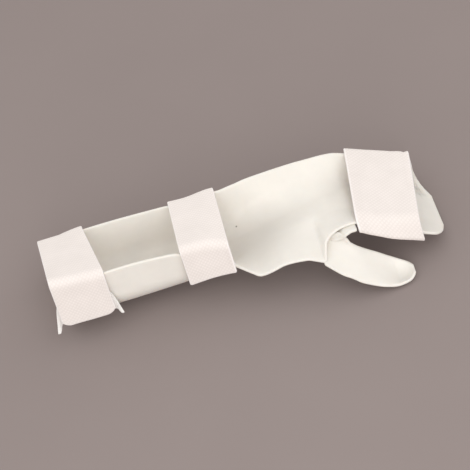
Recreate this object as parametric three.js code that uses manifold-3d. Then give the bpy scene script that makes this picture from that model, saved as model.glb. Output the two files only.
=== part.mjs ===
// Resting hand splint for the left hand: a moulded sheet that carries the forearm, palm, fingers and
// thumb, with three padded straps stuck down on hook tabs. Millimetres. Inside the splint frame
// +X runs along the forearm to the fingertips, +Y points to the little finger's side, +Z is up.
import * as THREE from 'three';
import { mergeVertices } from 'three/addons/utils/BufferGeometryUtils.js';
import Module from 'manifold-3d';

// Moulded sheet
const sheet = 3.2;
const forearmLength = 197;
const handLength = 213;
const troughWidth = 83;
const troughDepth = 52;
const troughBend = 24;
const palmWidth = 102;
const palmRise = 25;
const fingerDrop = 45;
const thumbLength = 89;
const thumbWidth = 37;
const thumbDrop = 36;
const thumbOut = 92;

// Straps and hook tabs. A strap is laid from its far start to its near start, along the splint.
const strapThickness = 3;
const strapBend = 4.5;
const forearmStrapWidth = 50;
const forearmStrapNearWidth = 58;
const forearmStrapFarOverhang = 8;
const forearmStrapNearOverhang = 2.5;
const forearmStrapCorner = 10;
const forearmShoulderLift = 8;
const forearmShoulderFall = 6;
const wristStrapWidth = 51;
const wristStrapGap = 9;
const fingerStrapWidth = 76;
const fingerStrapNearWidth = 73;
const fingerStrapFarGap = 10.6;
const fingerStrapNearGap = 25.2;
const strapCorner = 2.5;
const farHang = 10;
const nearHang = 6;
const hangLean = 1;
const wristNearHang = 10;
const wristHangGain = 5;
const wristShoulderLift = 6;
const wristShoulderGain = 23;
const wristLean = 2;
const fingerFarHang = 24;
const fingerFarLean = 2;
const shoulderInset = 3;
const shoulderLift = 5;
const shoulderGain = 11;
const rimLean = 1.5;
const tabThickness = 1.2;
const tabInset = 4;
const wristTabShare = 0.75;
const clearance = 0.3;
const cornerTabTop = 30;
const cornerTabFoot = 9;
const cornerTabDrop = 5;
const cornerTabFlare = 8;
const cornerTabWidth = 72;
const cornerTabTaper = 14;

// Table of rows under column names
function table(names, rows) {
  return rows.map((row) => Object.fromEntries(names.map((name, i) => [name, row[i]])));
}

// Attitude at rest: the splint lies on its near end, the thumb and the fingers' far corner
const restPitch = 2.75;
const restRoll = 11.48;

// Forearm sections, proximal end to wrist. along is a share of forearmLength; out values are shares
// of half the trough's width; wall heights are shares of its depth; floor is a share of palmRise.
const forearmSections = table(
  ['along', 'floor', 'flat', 'bend', 'farOut', 'farWall', 'nearOut', 'nearWall'],
  [
    [0.0, 0.0, 0.38, 1.0, 0.98, 0.86, 0.93, 0.88],
    [0.02, 0.0, 0.38, 1.0, 1.0, 0.95, 0.95, 0.97],
    [0.084, 0.0, 0.38, 1.0, 1.04, 1.03, 1.0, 1.03],
    [0.209, 0.0, 0.38, 1.0, 1.06, 1.07, 1.02, 1.05],
    [0.376, 0.0, 0.38, 1.0, 1.04, 1.08, 1.0, 1.05],
    [0.646, 0.0, 0.36, 1.0, 1.0, 1.06, 1.0, 0.98],
    [0.792, 0.03, 0.34, 1.0, 0.98, 1.02, 1.02, 0.74],
    [0.917, 0.1, 0.32, 1.05, 0.98, 1.02, 1.12, 0.42],
    [0.979, 0.16, 0.3, 1.05, 0.98, 0.98, 1.25, 0.22],
  ],
);

// Hand sections, wrist to fingertips. along is a share of handLength; out values are shares of half
// the palm's width; rise and drop are shares of palmRise and fingerDrop; walls as above.
const handSections = table(
  ['along', 'rise', 'drop', 'flat', 'bend', 'farOut', 'farWall', 'nearOut', 'nearWall'],
  [
    [0.03, 0.24, 0, 0.22, 1.1, 0.81, 0.96, 1.14, 0.06],
    [0.065, 0.31, 0, 0.22, 1.15, 0.83, 0.93, 1.235, -0.03],
    [0.12, 0.42, 0, 0.2, 1.2, 0.85, 0.9, 1.26, -0.05],
    [0.2, 0.6, 0, 0.2, 1.25, 0.87, 0.82, 1.26, -0.07],
    [0.3, 0.78, 0, 0.2, 1.3, 0.88, 0.74, 1.29, -0.18],
    [0.35, 0.85, 0, 0.2, 1.3, 0.88, 0.71, 1.36, -0.27],
    [0.385, 0.89, 0, 0.2, 1.3, 0.88, 0.69, 1.41, -0.33],
    [0.41, 0.92, 0, 0.22, 1.25, 0.88, 0.67, 1.215, -0.05],
    [0.45, 0.95, 0, 0.24, 1.15, 0.88, 0.65, 1.08, 0.017],
    [0.5, 0.98, 0, 0.28, 1.0, 0.88, 0.63, 1.065, 0.077],
    [0.565, 1.0, 0.02, 0.34, 0.85, 0.88, 0.61, 1.08, 0.12],
    [0.64, 1.0, 0.17, 0.4, 0.7, 0.87, 0.63, 1.1, 0.08],
    [0.74, 1.0, 0.42, 0.45, 0.6, 0.86, 0.67, 1.13, 0.05],
    [0.86, 1.0, 0.71, 0.46, 0.55, 0.84, 0.72, 1.15, 0.08],
    [0.925, 1.0, 0.87, 0.44, 0.55, 0.82, 0.75, 1.12, 0.07],
    [0.945, 1.0, 0.91, 0.42, 0.5, 0.75, 0.32, 1.09, 0.05],
    [0.965, 1.0, 0.95, 0.36, 0.4, 0.63, 0.12, 1.02, 0.03],
    [0.985, 1.0, 0.99, 0.28, 0.3, 0.48, 0.05, 0.85, 0.0],
    [1.0, 1.0, 1.02, 0.22, 0.3, 0.32, 0.02, 0.54, 0.0],
  ],
);

// Thumb sections, root to tip. along is a share of thumbLength; out and down values are shares of
// thumbOut and thumbDrop; sag is how far the middle hangs behind the edges, a share of thumbWidth.
const thumbSections = table(
  ['along', 'farOut', 'farDown', 'nearOut', 'nearDown', 'sag'],
  [
    [0.0, 0.54, -0.24, 0.79, -0.1, 0.0],
    [0.08, 0.52, -0.47, 0.85, 0.06, -0.08],
    [0.19, 0.535, -0.584, 0.913, 0.28, -0.14],
    [0.27, 0.576, -0.664, 0.94, 0.4, -0.11],
    [0.31, 0.65, -0.63, 0.957, 0.47, -0.06],
    [0.35, 0.663, -0.39, 0.975, 0.55, 0.02],
    [0.47, 0.663, -0.07, 0.995, 0.72, 0.1],
    [0.62, 0.668, 0.22, 1.01, 0.89, 0.16],
    [0.78, 0.68, 0.53, 1.0, 1.0, 0.2],
    [0.9, 0.707, 0.72, 0.973, 1.0, 0.14],
    [0.965, 0.75, 0.8, 0.93, 0.95, 0.06],
    [1.0, 0.815, 0.85, 0.87, 0.89, 0.0],
  ],
);
const thumbRoot = 0.375;

// Sections of the web between thumb and fingers, a flange of the thumb's piece that shows past the
// palm's near rim. along runs from the web's start to the finger strap; out values are shares of half
// the palm's width; heights are shares of palmRise.
const webSections = table(
  ['along', 'farOut', 'farUp', 'nearOut', 'nearUp'],
  [
    [0.0, 0.784, 0.82, 1.098, 0.68],
    [0.23, 0.824, 0.852, 1.14, 0.7],
    [0.43, 0.824, 0.88, 1.18, 0.79],
    [0.59, 0.843, 0.912, 1.18, 0.87],
    [0.76, 0.843, 0.944, 1.155, 0.91],
    [1.0, 0.843, 0.984, 1.18, 0.935],
  ],
);
const webRoot = 0.437;

// Shares of the lengths: where the rounded near end stops, where the far wall starts to be cut away,
// and how much of the hand's length the fingers' slope takes
const endRounding = 0.084;
const farWallEnd = 0.925;
const slopeShare = 0.38;

// Smooth curve through table rows, without overshoot between them
function rowSlopes(rows, key) {
  const steps = rows.slice(1).map((row, i) => (row[key] - rows[i][key]) / (row.x - rows[i].x));
  return rows.map((row, i) => {
    if (i === 0) return steps[0];
    if (i === rows.length - 1) return steps[i - 1];
    const before = steps[i - 1];
    const after = steps[i];
    return before * after <= 0 ? 0 : (2 * before * after) / (before + after);
  });
}

function rowsCurve(rows) {
  const keys = Object.keys(rows[0]).filter((key) => key !== 'x');
  const slopes = Object.fromEntries(keys.map((key) => [key, rowSlopes(rows, key)]));
  return (x) => {
    const last = rows.length - 2;
    const found = rows.findIndex((row, i) => i <= last && x <= rows[i + 1].x);
    const i = found < 0 ? last : found;
    const span = rows[i + 1].x - rows[i].x;
    const t = Math.min(Math.max((x - rows[i].x) / span, 0), 1);
    const at = (key) => {
      const a = rows[i][key];
      const b = rows[i + 1][key];
      const m = slopes[key][i] * span;
      const n = slopes[key][i + 1] * span;
      return a + m * t + (3 * (b - a) - 2 * m - n) * t * t + (2 * (a - b) + m + n) * t * t * t;
    };
    return Object.fromEntries([['x', x], ...keys.map((key) => [key, at(key)])]);
  };
}

const shellRows = [
  ...forearmSections.map((s) => ({
    x: s.along * forearmLength,
    floorZ: s.floor * palmRise,
    flat: (s.flat * troughWidth) / 2,
    bend: s.bend * troughBend,
    farY: (s.farOut * troughWidth) / 2,
    farZ: s.floor * palmRise + s.farWall * troughDepth,
    nearY: (-s.nearOut * troughWidth) / 2,
    nearZ: s.floor * palmRise + s.nearWall * troughDepth,
  })),
  ...handSections.map((s) => {
    const floorZ = s.rise * palmRise - s.drop * fingerDrop;
    return {
      x: forearmLength + s.along * handLength,
      floorZ,
      flat: (s.flat * palmWidth) / 2,
      bend: s.bend * troughBend,
      farY: (s.farOut * palmWidth) / 2,
      farZ: floorZ + s.farWall * troughDepth,
      nearY: (-s.nearOut * palmWidth) / 2,
      nearZ: floorZ + s.nearWall * troughDepth,
    };
  }),
];
const shellAt = rowsCurve(shellRows);

const thumbX = forearmLength + thumbRoot * handLength;
const thumbRows = thumbSections.map((s) => ({
  x: thumbX + s.along * thumbLength,
  farY: -s.farOut * thumbOut,
  farZ: -s.farDown * thumbDrop,
  nearY: -s.nearOut * thumbOut,
  nearZ: -s.nearDown * thumbDrop,
  sag: s.sag * thumbWidth,
}));
const thumbAt = rowsCurve(thumbRows);

// Where the finger strap's near end starts, along the splint
const splintLength = forearmLength + handLength;
const fingerSlope = Math.atan(fingerDrop / (handLength * slopeShare));
const fingerNearRun = fingerStrapNearWidth * Math.cos(fingerSlope);
const fingerNearStart = splintLength - fingerStrapNearGap - fingerNearRun;

const webX = forearmLength + webRoot * handLength;
const webRows = webSections.map((s) => ({
  x: webX + s.along * (fingerNearStart - sheet / 2 - webX),
  farY: (-s.farOut * palmWidth) / 2,
  farZ: s.farUp * palmRise,
  nearY: (-s.nearOut * palmWidth) / 2,
  nearZ: s.nearUp * palmRise,
  sag: 0,
}));
const webAt = rowsCurve(webRows);

// One side of a section: a bend that leaves the floor level, then a straight wall up to the rim
function sidePoints(floorY, floorZ, bend, rimY, rimZ, bendSteps, wallSteps) {
  const out = rimY - floorY;
  const side = Math.sign(out);
  const a = Math.abs(out);
  const lift = Math.sign(rimZ - floorZ) || 1;
  const b = Math.abs(rimZ - floorZ);
  const radius = Math.min(bend, (0.999 * (a * a + b * b)) / Math.max(2 * b, 1e-6));
  const wall = Math.sqrt(Math.max(a * a + (b - radius) ** 2 - radius * radius, 0));
  const turn = Math.atan2(b - radius, a) + Math.atan2(radius, wall);
  const points = [];
  for (let i = 1; i <= bendSteps; i += 1) {
    const angle = (turn * i) / bendSteps;
    points.push([floorY + side * radius * Math.sin(angle), floorZ + lift * radius * (1 - Math.cos(angle))]);
  }
  const [lastY, lastZ] = points[points.length - 1];
  for (let i = 1; i <= wallSteps; i += 1) {
    const t = i / wallSteps;
    points.push([lastY + (rimY - lastY) * t, lastZ + (rimZ - lastZ) * t]);
  }
  return points;
}

// Middle surface of the trough and palm at one section, far rim to near rim
const shellSteps = { bend: 5, wall: 2, floor: 4 };

function shellSection(x) {
  const s = shellAt(x);
  const { bend, wall, floor } = shellSteps;
  const far = sidePoints(s.flat, s.floorZ, s.bend, s.farY, s.farZ, bend, wall);
  const near = sidePoints(-s.flat, s.floorZ, s.bend, s.nearY, s.nearZ, bend, wall);
  const level = Array.from({ length: floor + 1 }, (_, i) => [s.flat - (2 * s.flat * i) / floor, s.floorZ]);
  return [...far.reverse(), ...level, ...near].map(([y, z]) => new THREE.Vector3(x, y, z));
}

// Middle surface of the thumb's trough or web at one section: a shallow curve behind its edges' line
const thumbSteps = 8;
const webSteps = 3;

function edgedSection(s, steps) {
  const { x } = s;
  const far = new THREE.Vector3(x, s.farY, s.farZ);
  const near = new THREE.Vector3(x, s.nearY, s.nearZ);
  const chord = near.clone().sub(far).normalize();
  const behind = new THREE.Vector3(0, -chord.z, chord.y);
  return Array.from({ length: steps + 1 }, (_, i) => {
    const t = i / steps;
    return far.clone().lerp(near, t).addScaledVector(behind, 4 * t * (1 - t) * s.sag);
  });
}

// Normals of a grid of points, rows along X and columns from far to near
function gridNormals(grid) {
  const rows = grid.length;
  const columns = grid[0].length;
  return grid.map((row, i) =>
    row.map((_, j) => {
      const along = grid[Math.min(i + 1, rows - 1)][j].clone().sub(grid[Math.max(i - 1, 0)][j]);
      const across = row[Math.min(j + 1, columns - 1)].clone().sub(row[Math.max(j - 1, 0)]);
      return across.cross(along).normalize();
    }),
  );
}

// Closed sheet of even thickness around a grid of middle points
function sheetGeometry(grid, thickness) {
  const rows = grid.length;
  const columns = grid[0].length;
  const normals = gridNormals(grid);
  const positions = [];
  for (const side of [0.5, -0.5]) {
    grid.forEach((row, i) =>
      row.forEach((point, j) => {
        const p = point.clone().addScaledVector(normals[i][j], side * thickness);
        positions.push(p.x, p.y, p.z);
      }),
    );
  }
  const top = (i, j) => i * columns + j;
  const under = (i, j) => rows * columns + i * columns + j;
  const index = [];
  const quad = (a, b, c, d) => index.push(a, b, c, a, c, d);
  for (let i = 0; i < rows - 1; i += 1) {
    for (let j = 0; j < columns - 1; j += 1) {
      quad(top(i, j), top(i, j + 1), top(i + 1, j + 1), top(i + 1, j));
      quad(under(i, j), under(i + 1, j), under(i + 1, j + 1), under(i, j + 1));
    }
    quad(top(i, 0), top(i + 1, 0), under(i + 1, 0), under(i, 0));
    quad(top(i, columns - 1), under(i, columns - 1), under(i + 1, columns - 1), top(i + 1, columns - 1));
  }
  for (let j = 0; j < columns - 1; j += 1) {
    quad(top(0, j), under(0, j), under(0, j + 1), top(0, j + 1));
    quad(top(rows - 1, j), top(rows - 1, j + 1), under(rows - 1, j + 1), under(rows - 1, j));
  }
  const geometry = new THREE.BufferGeometry();
  geometry.setAttribute('position', new THREE.Float32BufferAttribute(positions, 3));
  geometry.setIndex(index);
  return geometry;
}

// Stations between table rows, none further apart than the step
function stations(rows, step) {
  const list = [rows[0].x];
  for (let i = 1; i < rows.length; i += 1) {
    const span = rows[i].x - rows[i - 1].x;
    const parts = Math.max(1, Math.round(span / step));
    for (let k = 1; k <= parts; k += 1) list.push(rows[i - 1].x + (span * k) / parts);
  }
  return list;
}

const shellStep = 13;
const thumbStep = 9;
const shellStations = stations(shellRows, shellStep);

// Joining solids
const wasm = await Module();
wasm.setup();

function toSolid(geometry) {
  const bare = geometry.clone();
  bare.deleteAttribute('normal');
  bare.deleteAttribute('uv');
  const merged = mergeVertices(bare, 1e-4);
  return new wasm.Manifold(
    new wasm.Mesh({
      numProp: 3,
      vertProperties: new Float32Array(merged.attributes.position.array),
      triVerts: new Uint32Array(merged.index.array),
    }),
  );
}

function toGeometry(solid) {
  const mesh = solid.getMesh();
  const geometry = new THREE.BufferGeometry();
  geometry.setAttribute('position', new THREE.BufferAttribute(new Float32Array(mesh.vertProperties), 3));
  geometry.setIndex(new THREE.BufferAttribute(new Uint32Array(mesh.triVerts), 1));
  return geometry;
}

// Splint shell: the trough and palm with the thumb's trough and its web lapped under the palm's near rim
function shellGeometry() {
  const palm = shellStations.map(shellSection);
  const thumb = stations(thumbRows, thumbStep).map((x) => edgedSection(thumbAt(x), thumbSteps));
  const web = stations(webRows, thumbStep).map((x) => edgedSection(webAt(x), webSteps));
  const [first, ...others] = [palm, thumb, web].map((grid) => toSolid(sheetGeometry(grid, sheet)));
  return toGeometry(others.reduce((joined, solid) => joined.add(solid), first));
}

// Line set off to its left by one distance for each of its segments, its corners rounded
function bentLine(points, offsets, bend, cornerSteps) {
  const lines = points.slice(1).map((point, i) => {
    const along = point.clone().sub(points[i]).normalize();
    const out = new THREE.Vector2(-along.y, along.x).multiplyScalar(offsets[i]);
    return { along, start: points[i].clone().add(out), end: point.clone().add(out) };
  });
  const bent = [lines[0].start];
  lines.slice(1).forEach((line, i) => {
    const before = lines[i];
    const cross = before.along.x * line.along.y - before.along.y * line.along.x;
    const gap = line.start.clone().sub(before.start);
    const reach = (gap.x * line.along.y - gap.y * line.along.x) / cross;
    const corner = before.start.clone().addScaledVector(before.along, reach);
    const from = corner.clone().addScaledVector(before.along, -bend);
    const to = corner.clone().addScaledVector(line.along, bend);
    const curve = new THREE.QuadraticBezierCurve(from, corner, to);
    bent.push(...curve.getPoints(cornerSteps));
  });
  bent.push(lines[lines.length - 1].end);
  return bent;
}

// Straps: each section is a bent line from the far side to the near side, over the shell's rims
const cornerSteps = 4;
const strapColumns = [0, 0.05, 0.17, 0.33, 0.5, 0.67, 0.83, 0.95, 1];
const overRim = clearance + strapThickness / 2;
const overTab = sheet / 2 + clearance + tabThickness + clearance + strapThickness / 2;
const overSheet = sheet / 2 + clearance + tabThickness / 2;

// Rims a strap rests on: the rounded ends of the shell don't let it down, and a wall that leans
// outwards shows the strap the higher corner of its edge
function rimRise(rim, below) {
  return ((sheet / 2) * Math.abs(rim.y - below.y)) / rim.distanceTo(below);
}

function stationSeat(x) {
  const section = shellSection(x);
  const seat = shellAt(x);
  const last = section.length - 1;
  seat.farTop = seat.farZ + rimRise(section[0], section[1]);
  seat.nearTop = seat.nearZ + rimRise(section[last], section[last - 1]);
  return seat;
}

function seatAt(x) {
  const from = endRounding * forearmLength;
  const to = forearmLength + farWallEnd * handLength;
  const at = THREE.MathUtils.clamp(x, from, to);
  const i = Math.max(shellStations.findIndex((station) => station >= at), 1);
  const before = stationSeat(shellStations[i - 1]);
  const after = stationSeat(shellStations[i]);
  const t = (at - before.x) / (after.x - before.x);
  const between = (key) => THREE.MathUtils.lerp(before[key], after[key], t);
  return Object.fromEntries(Object.keys(before).map((key) => [key, between(key)]));
}

// How much shorter a strap is near its edges, where the corners of its ends are rounded
function cornerLift(fromEdge, radius) {
  const inside = Math.max(radius - fromEdge, 0);
  return radius - Math.sqrt(Math.max(radius * radius - inside * inside, 0));
}

function strapGrid(strap) {
  return strapColumns.map((share) => {
    const farX = strap.far + strap.farWidth * share;
    const nearX = strap.near + strap.nearWidth * share;
    const lift = cornerLift(Math.min(share, 1 - share) * strap.nearWidth, strap.corner);
    const { points, offsets } = strap.lineAt(farX, nearX, lift, share);
    const from = seatAt(farX).farY;
    const to = seatAt(nearX).nearY;
    let reached = 0;
    return bentLine(points, offsets, strapBend, cornerSteps).map((p) => {
      reached = THREE.MathUtils.clamp((from - p.x) / (from - to), reached, 1);
      return new THREE.Vector3(farX + (nearX - farX) * reached, p.x, p.y);
    });
  });
}

// How far a strap's middle stands off the line between its two rims: it clears the far rim's corner
function offRim(far, near) {
  return overRim + ((sheet / 2) * Math.abs(far.y - near.y)) / far.distanceTo(near);
}

// Down the far wall, straight across to a shoulder that stands over the near rim, and down past the
// near wall to its hang above the floor. Gains and lean grow towards the fingers.
function trayLine(hang, hangGain, shoulder, shoulderGrowth, lean) {
  return (farX, nearX, lift, share) => {
    const far = seatAt(farX);
    const near = seatAt(nearX);
    const farRim = new THREE.Vector2(far.farY, far.farTop);
    const nearRim = new THREE.Vector2(near.nearY, near.nearTop + shoulder + shoulderGrowth * share);
    const farEnd = new THREE.Vector2(far.farY, farHang + lift);
    const nearEnd = new THREE.Vector2(near.nearY - hangLean - lean * share, hang + hangGain * share + lift);
    return {
      points: [farEnd, farRim, nearRim, nearEnd],
      offsets: [-overTab, -offRim(farRim, nearRim), -overTab],
    };
  };
}

// Down the far wall, across to a shoulder that stands over the near rim, down past that rim and
// under the fingers
function fingerLine(farX, nearX, lift, share) {
  const far = seatAt(farX);
  const near = seatAt(nearX);
  const farEnd = new THREE.Vector2(far.farY - fingerFarLean, far.farTop - fingerFarHang + lift);
  const farRim = new THREE.Vector2(far.farY, far.farTop);
  const shoulderZ = near.nearZ + shoulderLift + shoulderGain * share;
  const shoulder = new THREE.Vector2(near.nearY + shoulderInset, shoulderZ);
  const nearRim = new THREE.Vector2(near.nearY - rimLean, near.nearZ);
  const underEnd = new THREE.Vector2(-near.flat, near.floorZ);
  const slant = 1 / Math.cos(fingerSlope);
  return {
    points: [farEnd, farRim, shoulder, nearRim, underEnd],
    offsets: [-overTab, -offRim(farRim, shoulder) * slant, -overRim, -overTab * slant],
  };
}

const fingerFarRun = fingerStrapWidth * Math.cos(fingerSlope);
const wristStart = forearmLength - wristStrapGap - wristStrapWidth;
const straps = {
  forearm_strap: {
    far: -forearmStrapFarOverhang,
    near: -forearmStrapNearOverhang,
    farWidth: forearmStrapWidth,
    nearWidth: forearmStrapNearWidth,
    corner: forearmStrapCorner,
    lineAt: trayLine(nearHang, 0, forearmShoulderLift, -forearmShoulderFall, 0),
  },
  wrist_strap: {
    far: wristStart,
    near: wristStart,
    farWidth: wristStrapWidth,
    nearWidth: wristStrapWidth,
    corner: strapCorner,
    lineAt: trayLine(wristNearHang, wristHangGain, wristShoulderLift, wristShoulderGain, wristLean),
  },
  finger_strap: {
    far: splintLength - fingerStrapFarGap - fingerFarRun,
    near: fingerNearStart,
    farWidth: fingerFarRun,
    nearWidth: fingerNearRun,
    corner: strapCorner,
    lineAt: fingerLine,
  },
};

// Hook tabs: thin pieces between a strap's end and the shell, set in from the strap's edges. Each
// starts below the strap's bend and stops short of the strap's end.
const tabColumns = [0, 0.25, 0.5, 0.75, 1];
const tabTop = 6;
const tabReach = 0.82;

function tabGrid(start, width, lineAt, offset) {
  return tabColumns.map((share) => {
    const x = start + tabInset + (width - 2 * tabInset) * share;
    const [rim, end] = lineAt(x);
    const from = rim.clone().lerp(end, tabTop / rim.distanceTo(end));
    const to = rim.clone().lerp(end, tabReach);
    return bentLine([from, to], [offset], 0, 0).map((p) => new THREE.Vector3(x, p.x, p.y));
  });
}

function farTabLine(x) {
  const s = seatAt(x);
  return [new THREE.Vector2(s.farY, s.farTop), new THREE.Vector2(s.farY, farHang)];
}

function fingerFarTabLine(x) {
  const s = seatAt(x);
  const end = new THREE.Vector2(s.farY - fingerFarLean, s.farTop - fingerFarHang);
  return [new THREE.Vector2(s.farY, s.farTop), end];
}

function nearTabLine(x) {
  const s = seatAt(x);
  const end = new THREE.Vector2(s.nearY - hangLean, wristNearHang + wristHangGain);
  return [new THREE.Vector2(s.nearY, s.nearTop), end];
}

function underTabLine(x) {
  const s = seatAt(x);
  return [new THREE.Vector2(s.nearY - rimLean, s.nearZ), new THREE.Vector2(-s.flat, s.floorZ)];
}

// The forearm strap's near tab shows: wider than the strap, its two lower corners curl outwards
const cornerTabColumns = table(
  ['across', 'flare'],
  [
    [0.0, 1.0],
    [0.035, 0.4],
    [0.055, 0.0],
    [0.3, 0.0],
    [0.7, 0.0],
    [0.945, 0.0],
    [0.97, 0.2],
    [1.0, 0.5],
  ],
);
const cornerTabRows = [0, 0.3, 0.6, 0.8, 1];

function cornerTabGrid() {
  const middle = forearmStrapNearWidth / 2 - forearmStrapNearOverhang;
  return cornerTabColumns.map(({ across, flare }) =>
    cornerTabRows.map((down) => {
      const width = cornerTabWidth - cornerTabTaper * (1 - down);
      const x = middle + width * (across - 0.5);
      const s = seatAt(x);
      const foot = cornerTabFoot - cornerTabDrop * flare;
      const z = cornerTabTop + (foot - cornerTabTop) * down;
      const lean = (hangLean * (s.nearZ - z)) / (s.nearZ - nearHang);
      return new THREE.Vector3(x, s.nearY - lean - overSheet - cornerTabFlare * flare * down * down, z);
    }),
  );
}

const splint = new THREE.Group();

function addPiece(name, geometry, finish) {
  geometry.computeVertexNormals();
  const mesh = new THREE.Mesh(geometry, new THREE.MeshStandardMaterial(finish));
  mesh.name = name;
  splint.add(mesh);
}

const plastic = { color: 0xf7f3ea, roughness: 0.42, metalness: 0 };
const hook = { color: 0xf4f0ea, roughness: 0.7, metalness: 0 };
const padding = { color: 0xf1e9e4, roughness: 0.95, metalness: 0 };
addPiece('splint_shell', shellGeometry(), plastic);
for (const [name, strap] of Object.entries(straps)) {
  addPiece(name, sheetGeometry(strapGrid(strap), strapThickness), padding);
}
const { forearm_strap: forearm, wrist_strap: wrist, finger_strap: finger } = straps;
const tabs = {
  forearm_near_tab: cornerTabGrid(),
  forearm_far_tab: tabGrid(forearm.far, forearm.farWidth, farTabLine, overSheet),
  wrist_far_tab: tabGrid(wrist.far, wrist.farWidth, farTabLine, overSheet),
  wrist_near_tab: tabGrid(wrist.near, wrist.nearWidth * wristTabShare, nearTabLine, -overSheet),
  finger_far_tab: tabGrid(finger.far, finger.farWidth, fingerFarTabLine, overSheet),
  finger_under_tab: tabGrid(finger.near, finger.nearWidth, underTabLine, -overSheet / Math.cos(fingerSlope)),
};
for (const [name, grid] of Object.entries(tabs)) {
  addPiece(name, sheetGeometry(grid, tabThickness), hook);
}

splint.rotation.set(THREE.MathUtils.degToRad(-restRoll), THREE.MathUtils.degToRad(-restPitch), 0);
const part = new THREE.Group();
part.add(splint);
part.updateMatrixWorld(true);
const reach = new THREE.Box3().setFromObject(part, true);
const middle = reach.getCenter(new THREE.Vector3());
splint.position.set(-middle.x, -middle.y, -reach.min.z);

export default part;
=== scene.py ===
import math

import bpy
import numpy as np
from mathutils import Matrix, Vector


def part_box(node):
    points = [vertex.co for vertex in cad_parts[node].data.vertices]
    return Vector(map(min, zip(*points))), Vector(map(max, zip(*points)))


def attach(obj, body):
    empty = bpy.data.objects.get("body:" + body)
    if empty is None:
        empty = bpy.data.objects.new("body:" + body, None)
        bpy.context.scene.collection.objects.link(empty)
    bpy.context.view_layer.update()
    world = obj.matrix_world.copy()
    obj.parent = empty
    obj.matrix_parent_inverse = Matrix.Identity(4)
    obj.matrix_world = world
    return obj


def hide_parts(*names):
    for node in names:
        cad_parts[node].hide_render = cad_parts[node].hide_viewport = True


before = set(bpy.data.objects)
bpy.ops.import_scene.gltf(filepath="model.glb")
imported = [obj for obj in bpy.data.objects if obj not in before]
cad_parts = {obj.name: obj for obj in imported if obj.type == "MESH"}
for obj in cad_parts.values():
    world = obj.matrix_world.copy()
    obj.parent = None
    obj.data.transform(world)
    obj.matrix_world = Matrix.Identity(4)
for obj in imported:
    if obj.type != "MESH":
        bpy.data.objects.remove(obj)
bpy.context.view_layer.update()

# The shapes are worked out in millimetres in the splint's own frame, as in the part's source:
# +X from the forearm end to the fingertips, +Y to the little finger's side, +Z up.
# They are then turned to the way the splint rests, and brought to metres.
MM = 0.001
SHEET = 3.2
FOREARM_LENGTH = 197
HAND_LENGTH = 213
TROUGH_WIDTH = 83
TROUGH_DEPTH = 52
TROUGH_BEND = 24
PALM_WIDTH = 102
PALM_RISE = 25
FINGER_DROP = 45
THUMB_LENGTH = 89
THUMB_WIDTH = 37
THUMB_DROP = 36
THUMB_OUT = 92
THUMB_ROOT = 0.375
WEB_ROOT = 0.437
END_ROUNDING = 0.084
FAR_WALL_END = 0.925
SLOPE_SHARE = 0.38

STRAP_THICKNESS = 3
STRAP_BEND = 4.5

# The straps' bend at the near shoulder, softer here than in the solids
SHOULDER_BEND = 9

FOREARM_STRAP_WIDTH = 50
FOREARM_STRAP_NEAR_WIDTH = 58
FOREARM_STRAP_FAR_OVERHANG = 8
FOREARM_STRAP_NEAR_OVERHANG = 2.5
FOREARM_STRAP_CORNER = 10
FOREARM_SHOULDER_LIFT = 8
FOREARM_SHOULDER_FALL = 6
WRIST_STRAP_WIDTH = 51
WRIST_STRAP_GAP = 9
FINGER_STRAP_WIDTH = 76
FINGER_STRAP_NEAR_WIDTH = 73
FINGER_STRAP_FAR_GAP = 10.6
FINGER_STRAP_NEAR_GAP = 25.2
STRAP_CORNER = 2.5
FAR_HANG = 10
NEAR_HANG = 6
HANG_LEAN = 1
WRIST_NEAR_HANG = 10
WRIST_HANG_GAIN = 5
WRIST_SHOULDER_LIFT = 6
WRIST_SHOULDER_GAIN = 23
WRIST_LEAN = 2
FINGER_FAR_HANG = 24
FINGER_FAR_LEAN = 2
SHOULDER_INSET = 3
SHOULDER_LIFT = 5
SHOULDER_GAIN = 11
RIM_LEAN = 1.5
TAB_THICKNESS = 1.2
CLEARANCE = 0.3

# How much further off the pan the finger strap stands here than in the solids, so that its smooth
# face clears the flat facets of the hook tab under it
UNDER_SLACK = 1.2

CORNER_TAB_TOP = 30
CORNER_TAB_FOOT = 9
CORNER_TAB_DROP = 5
CORNER_TAB_FLARE = 8
CORNER_TAB_WIDTH = 72
CORNER_TAB_TAPER = 14

# The curl of that tab's corners: how far past the strap's edge it starts, over what length it
# grows, and the right corner's share of it
CORNER_TAB_CLEAR = 0.5
CORNER_TAB_CURL = 4.5
CORNER_TAB_RIGHT_SHARE = 0.7

REST_PITCH = math.radians(2.75)
REST_ROLL = math.radians(11.48)

# Fineness of the modelled surfaces
SHELL_STEP = 2.4
SHELL_COLUMNS = 76
THUMB_STEP = 1.6
THUMB_COLUMNS = 34
WEB_COLUMNS = 14
THUMB_FAIRING_ROUNDS = 500
THUMB_KEPT_FROM = 0.8
STRAP_CELL = 0.8
TAB_CELL = 1.2
RIM_STEPS = 6
FLOOR_POINTS = 7
EDGED_POINTS = 40

# Share of the widest bend that fits between floor and rim, largest share of a line that is drawn in
# at each end, and guards against division by nothing
WIDEST_BEND = 0.999
LARGEST_INSET = 0.25
TINY = 1e-6
TINY_LENGTH = 1e-9

# Places on the sheet: the dark mark beside the wrist strap, and the middle of a soft patch of painted
# shade that follows the photo's darker area at the palm's wrist end, where the hollow's shade falls
MARK = (200, 27.4)
PAINTED_SHADE_PATCH = (218, -2)

# Strap fabric: a lattice of shallow grooves on both diagonals, kept narrow by a power under 1
LATTICE_PITCH = 3.2
LATTICE_DEPTH = 0.05
LATTICE_FADE = 2.5
GROOVE_POWER = 0.6
EDGE_MARK = "edge"

# Length over which the wave texture repeats at scale 1
WAVE_PERIOD = math.pi / 10

# Under 1, the straps' edges are squarer than a half round
STRAP_SQUARENESS = 0.8

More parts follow.
